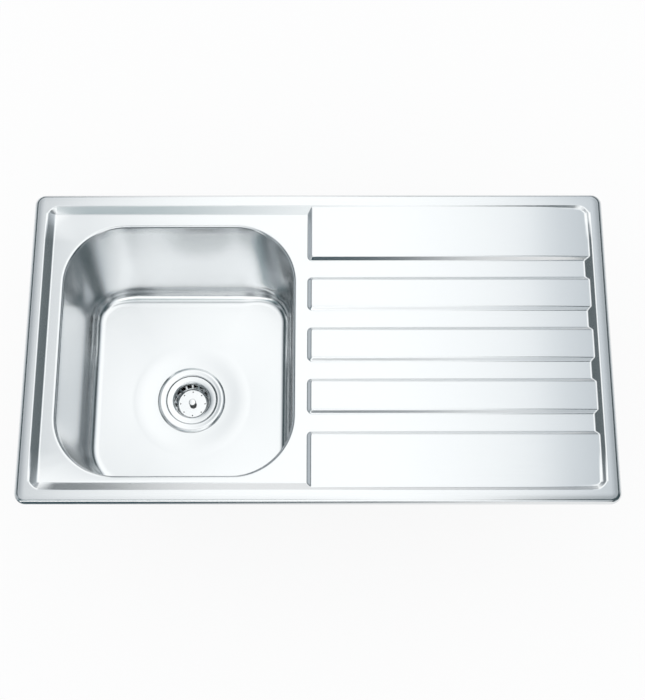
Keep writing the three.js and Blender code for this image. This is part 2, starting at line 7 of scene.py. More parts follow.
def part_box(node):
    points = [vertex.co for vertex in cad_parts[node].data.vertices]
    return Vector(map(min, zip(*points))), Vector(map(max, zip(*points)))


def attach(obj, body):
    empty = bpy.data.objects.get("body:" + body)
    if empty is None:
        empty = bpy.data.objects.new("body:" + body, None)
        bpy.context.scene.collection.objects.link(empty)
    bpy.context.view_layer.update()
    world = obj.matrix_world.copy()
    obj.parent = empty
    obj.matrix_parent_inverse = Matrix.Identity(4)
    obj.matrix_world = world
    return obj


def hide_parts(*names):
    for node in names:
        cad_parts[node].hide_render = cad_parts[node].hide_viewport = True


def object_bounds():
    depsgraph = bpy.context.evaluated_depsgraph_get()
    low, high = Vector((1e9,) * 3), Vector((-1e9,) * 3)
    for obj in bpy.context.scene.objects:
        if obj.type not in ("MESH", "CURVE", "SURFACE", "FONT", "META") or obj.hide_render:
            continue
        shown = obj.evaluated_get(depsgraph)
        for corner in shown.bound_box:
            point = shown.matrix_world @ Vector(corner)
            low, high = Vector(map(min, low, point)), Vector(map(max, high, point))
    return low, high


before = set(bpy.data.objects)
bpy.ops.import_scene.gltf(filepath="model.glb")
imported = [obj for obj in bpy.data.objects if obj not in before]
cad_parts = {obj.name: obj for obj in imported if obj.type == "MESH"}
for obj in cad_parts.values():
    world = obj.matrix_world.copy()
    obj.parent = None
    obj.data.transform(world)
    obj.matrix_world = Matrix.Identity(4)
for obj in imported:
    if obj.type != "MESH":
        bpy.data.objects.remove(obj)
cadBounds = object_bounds()

mm = 0.001


# helpers

def linearColour(hexColour):
    # sRGB hex to the linear colour that shaders take
    channels = [int(hexColour[i:i + 2], 16) / 255 for i in (1, 3, 5)]
    linear = [c / 12.92 if c <= 0.04045 else ((c + 0.055) / 1.055) ** 2.4 for c in channels]
    return (*linear, 1)


def addNode(tree, kind, settings=None, links=None):
    node = tree.nodes.new(kind)
    for key, value in (settings or {}).items():
        if isinstance(key, str) and hasattr(node, key):
            setattr(node, key, value)
        else:
            node.inputs[key].default_value = value
    for key, socket in (links or {}).items():
        tree.links.new(socket, node.inputs[key])
    return node


def emptyMaterial(name):
    material = bpy.data.materials.new(name)
    material.use_nodes = True
    material.node_tree.nodes.clear()
    return material


def patternMaterial(name):
    # with the place on the piece that its pattern follows, in metres
    material = emptyMaterial(name)
    place = addNode(material.node_tree, "ShaderNodeTexCoord").outputs["Object"]
    return material, material.node_tree, place


def addObject(name, data):
    made = bpy.data.objects.new(name, data)
    bpy.context.scene.collection.objects.link(made)
    return made


def addMesh(name, bm):
    mesh = bpy.data.meshes.new(name)
    bm.to_mesh(mesh)
    bm.free()
    return addObject(name, mesh)


def finishPiece(bm, name, material, body, replaced=(), sheet=0, rounding=0):
    # the bmesh is in millimetres and the scene in metres
    bmesh.ops.scale(bm, vec=(mm, mm, mm), verts=bm.verts)
    piece = addMesh(name, bm)
    if sheet:
        # the sheet's thickness goes behind the modelled face
        solid = piece.modifiers.new("sheet", "SOLIDIFY")
        solid.thickness = sheet * mm
        solid.offset = -1
        if rounding:
            edges = piece.modifiers.new("edges", "BEVEL")
            edges.width = rounding * mm
            edges.segments = 3
            edges.angle_limit = radians(60)
        bpy.context.view_layer.update()
        depsgraph = bpy.context.evaluated_depsgraph_get()
        thickened = bpy.data.meshes.new_from_object(piece.evaluated_get(depsgraph))
        piece.modifiers.clear()
        piece.data = thickened
    mesh = piece.data
    mesh.polygons.foreach_set("use_smooth", [True] * len(mesh.polygons))
    mesh.set_sharp_from_angle(angle=radians(40))
    mesh.materials.append(material)
    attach(piece, body)
    if replaced:
        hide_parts(*replaced)


def boxOf(node):
    # lower and upper corner of a CAD node, in millimetres
    return [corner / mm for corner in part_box(node)]


def middleOf(node):
    low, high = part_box(node)
    return (low + high) / (2 * mm)


def onlyType(geom, kind):
    return [item for item in geom if isinstance(item, kind)]


def shift(bm, geom, offset):
    bmesh.ops.translate(bm, vec=offset, verts=onlyType(geom, bmesh.types.BMVert))


def closedWire(bm, points):
    verts = [bm.verts.new(point) for point in points]
    for i, vert in enumerate(verts):
        bm.edges.new((vert, verts[i - 1]))
    return verts


def fillBetween(bm, edges, up=1):
    bmesh.ops.triangle_fill(bm, use_beauty=True, use_dissolve=False, edges=edges, normal=(0, 0, up))


def roundCorners(bm, verts, outline, segments):
    # a third value in a point of the outline says how far from the corner its rounding starts
    for vert, point in zip(verts, outline):
        if len(point) > 2:
            bmesh.ops.bevel(bm, geom=[vert], offset=point[2], offset_type="OFFSET", segments=segments,
                            profile=0.5, affect="VERTICES", material=-1)


def roundEdges(bm, edges, width, segments, clamped=False):
    bmesh.ops.bevel(bm, geom=list(edges), offset=width, offset_type="OFFSET", segments=segments,
                    profile=0.5, affect="EDGES", material=-1, clamp_overlap=clamped)


def mergeAndTurn(bm):
    bmesh.ops.remove_doubles(bm, verts=bm.verts, dist=1e-3)
    bmesh.ops.recalc_face_normals(bm, faces=bm.faces)


def faceOutwards(bm):
    # on an open sheet the highest face tells which side is out
    mergeAndTurn(bm)
    bm.normal_update()
    if max(bm.faces, key=lambda face: face.calc_center_median().z + abs(face.normal.z)).normal.z < 0:
        bmesh.ops.reverse_faces(bm, faces=bm.faces)


def turned(profile, centre, steps, closed=True):
    # each point of the profile is a radius and a height, and the rounding of that corner if it has one
    bm = bmesh.new()
    verts = [bm.verts.new((centre[0] + point[0], centre[1], point[1])) for point in profile]
    for pair in zip(verts, verts[1:]):
        bm.edges.new(pair)
    if closed and profile[0][0] > 0:
        bm.edges.new((verts[-1], verts[0]))
    roundCorners(bm, verts, profile, 3)
    bmesh.ops.spin(bm, geom=bm.verts[:] + bm.edges[:], cent=(*centre, 0), axis=(0, 0, 1), angle=2 * pi,
                   steps=steps, use_merge=True)
    mergeAndTurn(bm)
    return bm


def settle(bm, centre, turn):
    # from the origin, where it was made, to its place
    bmesh.ops.rotate(bm, cent=(0, 0, 0), matrix=Matrix.Rotation(turn, 3, "Z"), verts=bm.verts)
    bmesh.ops.translate(bm, vec=(centre.x, centre.y, 0), verts=bm.verts)
    return bm


def threadProfile(radius, low, high, pitch, depth):
    # the ridges of a thread, from the bottom up
    count = int((high - low) / pitch)
    points = []
    for i in range(count):
        z = low + (high - low - count * pitch) / 2 + i * pitch
        points += [(radius - depth, z), (radius, z + pitch * 0.4), (radius, z + pitch * 0.6)]
    return points + [(radius - depth, points[-1][1] + pitch * 0.4)]


# camera, as the photograph was taken: from above and a little in front

cameraValues = {
    "place": (0.017, -0.671, 1.971),
    "tilt": 18.56,  # degrees from straight down
    "yaw": 0.27,
    "roll": -0.05,
    "focalPixels": 1355,
    "imageHeight": 700,
    "sensor": 36,  # mm
}


def makeCamera(v):
    data = bpy.data.cameras.new("camera")
    data.sensor_width = v["sensor"]
    data.lens = v["focalPixels"] * data.sensor_width / v["imageHeight"]
    camera = addObject("camera", data)
    turn = Matrix.Rotation(radians(v["tilt"]), 4, "X")
    turn = turn @ Matrix.Rotation(radians(v["yaw"]), 4, "Y") @ Matrix.Rotation(radians(v["roll"]), 4, "Z")
    camera.matrix_world = Matrix.Translation(v["place"]) @ turn
    bpy.context.scene.camera = camera


makeCamera(cameraValues)
bpy.context.scene.view_settings.view_transform = "Standard"
print("camera ready")


# stage: pale floor, white surroundings, soft light and cards that the steel mirrors

stageValues = {
    "floorSize": 24,
    "floorColour": "#f4f5f6",
    "shadowKept": 0.13,  # how much of the object's shadow the floor shows
    "worldColour": "#ffffff",
}

# A white tent arches over the sink, lit from outside, with dark sides and cards hung on its cloth.
# The steel mirrors it, and nothing else sees it.
tent = {
    "radius": 1.5,
    "front": -2.5,
    "back": 5,
    "steps": 96,
    "strength": 1.6,
    "tones": [  # from the left foot, over the top, to the right foot
        (-1.00, "#a2a7ac"), (-0.93, "#9fa5a9"), (-0.86, "#2f3c3f"), (-0.67, "#273335"), (-0.60, "#999ea3"),
        (-0.42, "#d3d5d6"), (-0.20, "#e6e7e7"), (0.12, "#e8e9e9"), (0.34, "#dddfe0"), (0.48, "#b3b9be"),
        (0.62, "#8d9296"), (0.66, "#2c383a"), (0.86, "#273335"), (0.94, "#93989c"), (1.00, "#9fa5a9"),
    ],
    # cards on the cloth, each fading in across the tent and then in and out from back to front, in metres
    "cards": [
        {"colour": "#334044", "across": (0.36, 0.62), "begin": (0, -0.28), "end": (-0.8, -1.15)},
        {"colour": "#93989c", "across": (0.2, -0.1), "begin": (-0.16, -0.28), "end": (-0.46, -0.58)},
        {"colour": "#637a7f", "across": (0.3, -0.62), "begin": (-0.84, -0.97), "end": (-1.17, -1.25)},
        {"colour": "#ffffff", "across": (0.2, -0.1), "begin": (-1.25, -1.36), "end": (-2.5, -2.6)},
        {"colour": "#878c90", "across": (-0.1, 0.35), "begin": (7, 6), "end": (2.8, 2.3)},
    ],
}

# dark cards standing in the tent's open front, on the left; the lower one's foot lies on the floor
lowCards = [
    {
        "distance": 1.8, "foot": 0.1, "top": 1.12, "topFade": 0.16,
        "left": -3, "right": 0.52, "rightFade": 0.35, "apron": 0, "colour": "#3a5058",
    },
    {
        "distance": 1.79, "foot": -0.255, "top": 0.16, "topFade": 0.1,
        "left": -3, "right": 0.35, "rightFade": 0.95, "apron": 1.3, "colour": "#3a5058",
    },
]


def stageSheet(bm, name, material):
    # seen in the steel only
    sheet = addMesh(name, bm)
    sheet.data.materials.append(material)
    sheet.visible_camera = False
    sheet.visible_shadow = False
    sheet.visible_diffuse = False


def makeFloor(v):
    material = emptyMaterial("paleFloor")
    tree = material.node_tree
    path = addNode(tree, "ShaderNodeLightPath")
    seen = addNode(tree, "ShaderNodeMath", {"operation": "MAXIMUM"}, {
        0: path.outputs["Is Camera Ray"], 1: path.outputs["Is Glossy Ray"]})
    seen = addNode(tree, "ShaderNodeMath", {"operation": "MAXIMUM"}, {
        0: seen.outputs[0], 1: path.outputs["Is Transmission Ray"]})
    share = addNode(tree, "ShaderNodeMath", {"operation": "MULTIPLY", 1: 1 - v["shadowKept"]}, {
        0: seen.outputs[0]})
    matt = addNode(tree, "ShaderNodeBsdfDiffuse", {"Color": linearColour(v["floorColour"])})
    white = addNode(tree, "ShaderNodeEmission", {"Color": (1, 1, 1, 1), "Strength": 1})
    mix = addNode(tree, "ShaderNodeMixShader", None, {
        0: share.outputs[0], 1: matt.outputs[0], 2: white.outputs[0]})
    # the floor has no underside, so that the sink can be looked at from below
    geometry = addNode(tree, "ShaderNodeNewGeometry")
    clear = addNode(tree, "ShaderNodeBsdfTransparent")
    oneSided = addNode(tree, "ShaderNodeMixShader", None, {
        0: geometry.outputs["Backfacing"], 1: mix.outputs[0], 2: clear.outputs[0]})
    addNode(tree, "ShaderNodeOutputMaterial", None, {"Surface": oneSided.outputs[0]})
    bm = bmesh.new()
    bmesh.ops.create_grid(bm, x_segments=1, y_segments=1, size=v["floorSize"] / 2)
    bmesh.ops.translate(bm, vec=(0, 0, cadBounds[0].z), verts=bm.verts)
    floor = addMesh("floor", bm)
    floor.data.materials.append(material)


def makeWorld(v):
    world = bpy.data.worlds.new("whiteSurround")
    world.use_nodes = True
    world.node_tree.nodes.clear()
    background = addNode(world.node_tree, "ShaderNodeBackground", {
        "Color": linearColour(v["worldColour"]), "Strength": 1})
    addNode(world.node_tree, "ShaderNodeOutputWorld", None, {"Surface": background.outputs[0]})
    bpy.context.scene.world = world


def shareOf(tree, fades):
    # how much of a card shows: the product of its fades, each with a source, two places and two values
    share = None
    for source, start, end, low, high in fades:
        settings = {"interpolation_type": "SMOOTHSTEP", "From Min": start, "From Max": end,
                    "To Min": low, "To Max": high}
        fade = addNode(tree, "ShaderNodeMapRange", settings, {"Value": source}).outputs[0]
        share = fade if share is None else addNode(tree, "ShaderNodeMath", {"operation": "MULTIPLY"}, {
            0: share, 1: fade}).outputs[0]
    return share


def makeTent(v):
    material, tree, place = patternMaterial("litTent")
    split = addNode(tree, "ShaderNodeSeparateXYZ", None, {0: place})
    across = addNode(tree, "ShaderNodeMapRange", {"From Min": -v["radius"], "From Max": v["radius"]}, {
        "Value": split.outputs["X"]})
    tones = addNode(tree, "ShaderNodeValToRGB", None, {"Fac": across.outputs[0]})
    elements = tones.color_ramp.elements
    while len(elements) < len(v["tones"]):
        elements.new(0.5)
    for element, (share, colour) in zip(elements, v["tones"]):
        element.position = (share + 1) / 2
        element.color = linearColour(colour)
    colour = tones.outputs["Color"]
    for card in v["cards"]:
        share = shareOf(tree, [
            (split.outputs["X"], *card["across"], 0, 1), (split.outputs["Y"], *card["begin"], 0, 1),
            (split.outputs["Y"], *card["end"], 1, 0)])
        colour = addNode(tree, "ShaderNodeMix", {"data_type": "RGBA", 7: linearColour(card["colour"])}, {
            0: share, 6: colour}).outputs[2]
    glow = addNode(tree, "ShaderNodeEmission", {"Strength": v["strength"]}, {"Color": colour})
    addNode(tree, "ShaderNodeOutputMaterial", None, {"Surface": glow.outputs[0]})
    bm = bmesh.new()
    ends = [bm.verts.new((v["radius"], y, 0)) for y in (v["front"], v["back"])]
    edge = bm.edges.new(ends)
    bmesh.ops.spin(bm, geom=[*ends, edge], cent=(0, 0, 0), axis=(0, -1, 0), angle=pi, steps=v["steps"])
    stageSheet(bm, "lightTent", material)


def makeLowCard(v):
    material, tree, place = patternMaterial("darkCard")
    split = addNode(tree, "ShaderNodeSeparateXYZ", None, {0: place})
    share = shareOf(tree, [
        (split.outputs["Z"], v["top"] - v["topFade"], v["top"], 1, 0),
        (split.outputs["X"], v["right"] - v["rightFade"], v["right"], 1, 0)])
    dark = addNode(tree, "ShaderNodeEmission", {"Color": linearColour(v["colour"]), "Strength": 1})
    clear = addNode(tree, "ShaderNodeBsdfTransparent")
    mix = addNode(tree, "ShaderNodeMixShader", None, {0: share, 1: clear.outputs[0], 2: dark.outputs[0]})
    addNode(tree, "ShaderNodeOutputMaterial", None, {"Surface": mix.outputs[0]})
    bm = bmesh.new()
    low = [bm.verts.new((x, -v["distance"], v["foot"])) for x in (v["left"], v["right"])]
    edge = bm.edges.new(low)
    shift(bm, bmesh.ops.extrude_edge_only(bm, edges=[edge])["geom"], (0, 0, v["top"] - v["foot"]))
    if v["apron"]:
        shift(bm, bmesh.ops.extrude_edge_only(bm, edges=[edge])["geom"], (0, v["apron"], 0))
    stageSheet(bm, "lowCard", material)


makeFloor(stageValues)
makeWorld(stageValues)
makeTent(tent)
for card in lowCards:
    makeLowCard(card)
print("stage ready")


# materials; a pattern's scale is one over its size in metres

def coat(material, pattern, roughness, relief, settings, links=None):
    # gloss and relief both follow the pattern; relief is its strength and its height in metres
    tree = material.node_tree
    rough = addNode(tree, "ShaderNodeMapRange", {"To Min": roughness[0], "To Max": roughness[1]}, {
        "Value": pattern})
    bump = addNode(tree, "ShaderNodeBump", {"Strength": relief[0], "Distance": relief[1]}, {
        "Height": pattern})
    shader = addNode(tree, "ShaderNodeBsdfPrincipled", settings, {
        **(links or {}), "Roughness": rough.outputs[0], "Normal": bump.outputs[0]})
    addNode(tree, "ShaderNodeOutputMaterial", None, {"Surface": shader.outputs[0]})
    return material


def brushedStainless():
    # 0.8 mm stainless sheet, pressed and brushed along its length: bright, cool, softly blurred mirror
    # brush lines 60 mm long and 1.2 mm apart, drawn coarser than the real 0.1 mm so that they show
    material, tree, place = patternMaterial("brushedStainless")
    grain = addNode(tree, "ShaderNodeMapping", {"Scale": (1 / 0.06, 1 / 0.0012, 1 / 0.0012)}, {0: place})
    streaks = addNode(tree, "ShaderNodeTexNoise", {"Scale": 1, "Detail": 3, "Roughness": 0.6}, {
        "Vector": grain.outputs[0]})
    return coat(material, streaks.outputs[0], (0.16, 0.23), (0.02, 0.0002), {
        "Base Color": linearColour("#e5e7e8"), "Metallic": 1})


def polishedStainless():
    # deep drawn and turned stainless, buffed: clear mirror with faint rings round the drain's axis
    # rings 0.9 mm apart, drawn coarser than the turning marks they stand for so that they show
    material, tree, place = patternMaterial("polishedStainless")
    axis = middleOf("waste_body") * mm
    centred = addNode(tree, "ShaderNodeVectorMath", {"operation": "SUBTRACT", 1: (axis.x, axis.y, 0)}, {
        0: place})
    split = addNode(tree, "ShaderNodeSeparateXYZ", None, {0: centred.outputs[0]})
    flat = addNode(tree, "ShaderNodeCombineXYZ", None, {0: split.outputs["X"], 1: split.outputs["Y"]})
    radius = addNode(tree, "ShaderNodeVectorMath", {"operation": "LENGTH"}, {0: flat.outputs[0]})
    rings = addNode(tree, "ShaderNodeCombineXYZ", None, {0: radius.outputs["Value"], 1: split.outputs["Z"]})
    lines = addNode(tree, "ShaderNodeTexNoise", {"Scale": 1 / 0.0009, "Detail": 2}, {
        "Vector": rings.outputs[0]})
    return coat(material, lines.outputs[0], (0.12, 0.19), (0.03, 0.0002), {
        "Base Color": linearColour("#e6e8e9"), "Metallic": 1})


def zincPlatedSteel():
    # bright zinc on pressed steel: bluish grey, slightly cloudy, duller in the spangle's dark cells
    material, tree, place = patternMaterial("zincPlatedSteel")
    cloud = addNode(tree, "ShaderNodeTexNoise", {"Scale": 1 / 0.006, "Detail": 4}, {"Vector": place})
    spangle = addNode(tree, "ShaderNodeTexVoronoi", {"Scale": 1 / 0.004}, {"Vector": place})
    both = addNode(tree, "ShaderNodeMath", {"operation": "MULTIPLY"}, {
        0: cloud.outputs[0], 1: spangle.outputs["Distance"]})
    colour = addNode(tree, "ShaderNodeValToRGB", None, {"Fac": cloud.outputs[0]})
    colour.color_ramp.elements[0].color = linearColour("#a3a9ad")
    colour.color_ramp.elements[1].color = linearColour("#cdd1d4")
    return coat(material, both.outputs[0], (0.32, 0.5), (0.08, 0.0001), {"Metallic": 1}, {
        "Base Color": colour.outputs[0]})


def softMaterial(name, dark, light, grain, roughness, height):
    # mottled stuff that isn't metal; its grain, drawn coarse enough to show, and its relief are in metres
    material, tree, place = patternMaterial(name)
    spots = addNode(tree, "ShaderNodeTexNoise", {"Scale": 1 / grain, "Detail": 5}, {"Vector": place})
    colour = addNode(tree, "ShaderNodeValToRGB", None, {"Fac": spots.outputs[0]})
    for element, position, shade in zip(colour.color_ramp.elements, (0.35, 0.65), (dark, light)):
        element.position = position
        element.color = linearColour(shade)
    return coat(material, spots.outputs[0], (roughness - 0.08, roughness + 0.05), (0.5, height), {
        "Metallic": 0}, {"Base Color": colour.outputs[0]})


brushed = brushedStainless()
polished = polishedStainless()
zinc = zincPlatedSteel()
rubber = softMaterial("mouldedRubber", "#232425", "#313233", 0.0015, 0.62, 0.00005)  # matt, finely grained
foam = softMaterial("closedCellFoam", "#494c4e", "#63666a", 0.0008, 0.92, 0.0003)  # tiny open cells
nylon = softMaterial("mouldedNylon", "#dedfd9", "#ebebe6", 0.004, 0.42, 0.00002)  # waxy and smooth
# the knob's near-black colour is painted shade: it stands for the shadow and dark reflection round the knob,
# and only its smooth shine is the nylon's own
knobNylonPaintedShade = softMaterial("knobNylonPaintedShade", "#323839", "#3d4445", 0.004, 0.42, 0.00002)  # smooth, soft shine
bitumen = softMaterial("bitumenPad", "#2f3133", "#424446", 0.003, 0.86, 0.0004)  # coarse and dull
print("materials ready")


# pressed top and bowl: one skin, with the weld between them ground flush

top = {
    "sheet": 0.8,
    "outerCorner": 17,
    "rimEdge": 7,  # rounding of the rim's outer edge
    "rimCrown": 1.2,  # how far the rim falls from its top line to its outer edge
    "crownRun": 16,
    "crownGap": 3,  # from the top line to the deck's mesh
    "rimWidth": 20,
    "slopeRun": 13,
    "recessCorner": 10,
    "deckBelowRim": 8.4,
    "slopeBlends": (0.3, 0.8),
    "panelRise": 4.8,
    "panelWidth": 50,
    "panelPitch": 83,
    "panelRun": 6,
    "panelCorner": 5,
    "panelLeft": -13,
    "panelBlends": (0.8, 0.8),
    "backRise": 6.8,  # the back panel stands higher, and its front side is steeper
    "backRun": 5.6,
    "panelBeyond": 60,  # how far the outer panels and all right ends run on past the rim
    "taper": (350, 430, 0.75),  # towards the right rim the panels grow lower: from, to, share left
    "taperBlends": (12, 12),
    "crease": 0.35,  # rounding where the panels run into the rim
    "fineStep": 0.9,
    "coarseStep": 24,
    "slopeReach": 9,  # the mesh stays fine this far to each side of the middle of a rim slope
    "panelReach": 6.5,
    "edgeSteps": 10,
    "cornerSteps": 10,
    "sideStep": 12,
}

bowl = {
    "left": -396, "right": -39, "front": -205.5, "back": 195.5,
    "corner": 93,
    "lip": 6,
    "flatEdge": 0.8,  # flat ring of deck round the lip
    "gridGap": 1,  # from there to the deck's mesh
    "drafts": (5, 1.8, 4, 10.8),  # at the top of the left, right, front and back wall
    "flares": (0, 0, 0, 3),  # how much more each wall slopes at its foot
    "coves": (22, 22, 26, 30),
    "depth": 200,
    "floorFall": 3,
    "drain": (-212, -31),
    "seatEdge": 88,  # radii of the seat round the waste
    "seat": 58,
    "seatDrop": 3,
    "seatBlend": 10,
    "hole": 45,
    "cornerSteps": 26,
    "sideStep": 9,
    "lipSteps": 8,
    "wallSteps": 11,
    "coveSteps": 16,
    "floorShares": (0.04, 0.1, 0.2, 0.35, 0.5, 0.65, 0.8, 0.9, 0.97),  # rings between walls and seat
    "seatStep": 3,
    "seatRings": 17,
}

topLow, topHigh = boxOf("sink_top")
rimTop = topHigh.z
deck = rimTop - top["deckBelowRim"]
floorTop = rimTop - bowl["depth"]


def bend(value, width):
    # a corner at zero, rounded over the width on each side
    if value <= -width:
        return 0
    return value if value >= width else (value + width) ** 2 / (4 * width)


def ramp(distance, run, startBlend, endBlend):
    # 0 to 1 over the run, with both ends rounded
    return (bend(distance, startBlend) - bend(distance - run, endBlend)) / run


def softMax(a, b, width):
    overlap = max(width - abs(a - b), 0) / width
    return max(a, b) + overlap ** 2 * width / 4


class Outline:
    # a rectangle with round corners: any point of it is its reach away from a smaller core

    def __init__(self, left, right, front, back, radius):
        self.left, self.right = left + radius, right - radius
        self.front, self.back = front + radius, back - radius
        self.radius = radius

    def split(self, point):
        near = Vector((min(max(point.x, self.left), self.right), min(max(point.y, self.front), self.back)))
        return near, Vector((point.x, point.y)) - near

    def inside(self, point, inset, height):
        near, away = self.split(point)
        flat = near + away.normalized() * (self.radius - inset)
        return Vector((*flat, height))

    def loop(self, bm, outset, height, cornerSteps, sideStep):
        # the edges of a flat plate of this outline
        reach = self.radius + outset
        width, length = self.right - self.left + 2 * reach, self.back - self.front + 2 * reach
        middle = Vector(((self.left + self.right) / 2, (self.front + self.back) / 2, height))
        corners = bmesh.ops.create_grid(bm, x_segments=1, y_segments=1, size=0.5)["verts"]
        bmesh.ops.scale(bm, vec=(width, length, 1), verts=corners)
        bmesh.ops.translate(bm, vec=middle, verts=corners)
        bmesh.ops.bevel(bm, geom=corners, offset=reach, offset_type="OFFSET", segments=cornerSteps,
                        profile=0.5, affect="VERTICES", material=-1, clamp_overlap=False)
        face = next(f for f in bm.faces if len(f.verts) >= 4 * cornerSteps and
                    (f.calc_center_median() - middle).length < 1)
        for edge in [e for e in face.edges if e.calc_length() > 2 * sideStep]:
            bmesh.ops.subdivide_edges(bm, edges=[edge], cuts=int(edge.calc_length() / sideStep))
        edges = face.edges[:]
        bmesh.ops.delete(bm, geom=[face], context="FACES_ONLY")
        return edges


def nextRing(bm, edges, place):
    # extrudes a loop of edges and puts each new vertex where place says
    made = bmesh.ops.extrude_edge_only(bm, edges=edges)["geom"]
    verts = set(onlyType(made, bmesh.types.BMVert))
    for vert in verts:
        vert.co = place(vert.co)
    return [edge for edge in onlyType(made, bmesh.types.BMEdge) if set(edge.verts) <= verts]


rimOutline = Outline(topLow.x, topHigh.x, topLow.y, topHigh.y, top["outerCorner"])
recessReach = top["recessCorner"] + top["slopeRun"]
recessOutline = Outline(topLow.x + top["rimWidth"], topHigh.x - top["rimWidth"],
                        topLow.y + top["rimWidth"], topHigh.y - top["rimWidth"], recessReach)
bowlOutline = Outline(bowl["left"], bowl["right"], bowl["front"], bowl["back"], bowl["corner"])


def panelOutlines():
    half, pitch, beyond = top["panelWidth"] / 2, top["panelPitch"], top["panelBeyond"]
    left, right = top["panelLeft"], topHigh.x + beyond
    spans = [(i * pitch - half, i * pitch + half) for i in (-1, 0, 1)]
    spans += [(2 * pitch - half, topHigh.y + beyond), (topLow.y - beyond, -2 * pitch + half)]
    return [Outline(left, right, low, high, top["panelCorner"]) for low, high in spans]


panels = panelOutlines()
backPanel = panels[3]


def deckHeight(x, y):
    point = Vector((x, y))
    inside = recessReach - recessOutline.split(point)[1].length
    height = rimTop - top["deckBelowRim"] * ramp(inside, top["slopeRun"], *top["slopeBlends"])
    start, end, share = top["taper"]
    lowered = 1 - (1 - share) * ramp(x - start, end - start, *top["taperBlends"])
    raised = deck
    for panel in panels:
        away = panel.split(point)[1]
        run, rise = top["panelRun"], top["panelRise"]
        if panel is backPanel:
            rise = top["backRise"]
            if away.length > 0:
                run += (top["backRun"] - run) * max(-away.y / away.length, 0) ** 2
        share = lowered * (1 - ramp(away.length - panel.radius + run / 2, run, *top["panelBlends"]))
        raised = max(raised, deck + rise * share)
    crease = top["crease"] * min((raised - deck) / top["panelRise"], 1)
    return softMax(height, raised, crease) if crease > 0 else height


def gradedLines(low, high, features, reach):
    # close together near a feature, wide apart elsewhere
    fine, coarse = top["fineStep"], top["coarseStep"]
    lines = [low]
    while lines[-1] < high:
        gap = min((f - reach - lines[-1] for f in features if f + reach > lines[-1]), default=coarse)
        lines.append(lines[-1] + (fine if gap <= 0 else min(coarse, max(gap, fine))))
    lines[-1] = high
    return lines


def makeDeckGrid(bm):
    # the deck and its panels, with a hole for the bowl; gives the grid's outer border and the hole's
    inset = top["crownRun"] + top["crownGap"]
    slope = top["rimWidth"] + top["slopeRun"] / 2
    pitch, half = top["panelPitch"], top["panelWidth"] / 2
    panelEdges = [i * pitch + side * half for i in (-1, 0, 1) for side in (-1, 1)]
    panelEdges += [2 * pitch - half, half - 2 * pitch]
    xLines = gradedLines(topLow.x + inset, topHigh.x - inset,
                         [topLow.x + slope, top["panelLeft"], topHigh.x - slope], top["slopeReach"])
    yLines = gradedLines(topLow.y + inset, topHigh.y - inset,
                         sorted([topLow.y + slope, *panelEdges, topHigh.y - slope]), top["panelReach"])
    columns, rows = len(xLines) - 1, len(yLines) - 1
    for vert in bmesh.ops.create_grid(bm, x_segments=columns, y_segments=rows, size=0.5)["verts"]:
        x = xLines[round((vert.co.x + 0.5) * columns)]
        y = yLines[round((vert.co.y + 0.5) * rows)]
        vert.co = (x, y, deckHeight(x, y))
    # the flat deck round the bowl is filled in afterwards
    margin = bowl["lip"] + bowl["flatEdge"] + bowl["gridGap"]
    gone = []
    for face in bm.faces:
        if any(bowl["left"] - margin < vert.co.x < bowl["right"] + margin and
               bowl["front"] - margin < vert.co.y < bowl["back"] + margin for vert in face.verts):
            gone.append(face)
    bmesh.ops.delete(bm, geom=gone, context="FACES")
    border = [edge for edge in bm.edges if edge.is_boundary]

    def outermost(vert):
        return min(abs(vert.co.x - xLines[0]), abs(vert.co.x - xLines[-1]),
                   abs(vert.co.y - yLines[0]), abs(vert.co.y - yLines[-1])) < 1e-3

    outer = [edge for edge in border if any(outermost(vert) for vert in edge.verts)]
    return outer, [edge for edge in border if edge not in outer]


def bowlProfile(direction):
    # inset and height from the deck down to the floor, for a wall on that side of the bowl
    sides = [max(part, 0) ** 2 for part in (-direction.x, direction.x, -direction.y, direction.y)]
    draft = radians(sum(side * value for side, value in zip(sides, bowl["drafts"])))
    foot = draft + radians(sum(side * value for side, value in zip(sides, bowl["flares"])))
    cove = sum(side * value for side, value in zip(sides, bowl["coves"]))
    lip, wallTop = bowl["lip"], deck - bowl["lip"]
    stations = []
    for i in range(bowl["lipSteps"] + 1):
        angle = pi / 2 + (draft - pi / 2) * i / bowl["lipSteps"]
        stations.append((lip * cos(angle) - lip, wallTop + lip * sin(angle)))
    depth = wallTop - (floorTop + cove - cove * sin(foot))
    for i in range(1, bowl["wallSteps"] + 1):
        share = i / bowl["wallSteps"]
        slope = tan(draft) + (tan(foot) - tan(draft)) * share / 2
        stations.append((depth * share * slope, wallTop - depth * share))
    centre = stations[-1][0] + cove * cos(foot)
    for i in range(1, bowl["coveSteps"] + 1):
        angle = foot + (pi / 2 - foot) * i / bowl["coveSteps"]
        stations.append((centre - cove * cos(angle), floorTop + cove - cove * sin(angle)))
    return stations


def onWall(point, station):
    direction = bowlOutline.split(point)[1].normalized()
    return bowlOutline.inside(point, *bowlProfile(direction)[station])


def seatHeight(radius):
    return floorTop - bowl["floorFall"] - bowl["seatDrop"] * ramp(
        bowl["seatEdge"] - radius, bowl["seatEdge"] - bowl["seat"], bowl["seatBlend"], bowl["seatBlend"])


def seatRadii(count, last):
    # from the outer edge of the seat inwards
    outer = bowl["seatEdge"] + bowl["seatBlend"]
    return [outer - i * bowl["seatStep"] for i in range(count)] + [last]


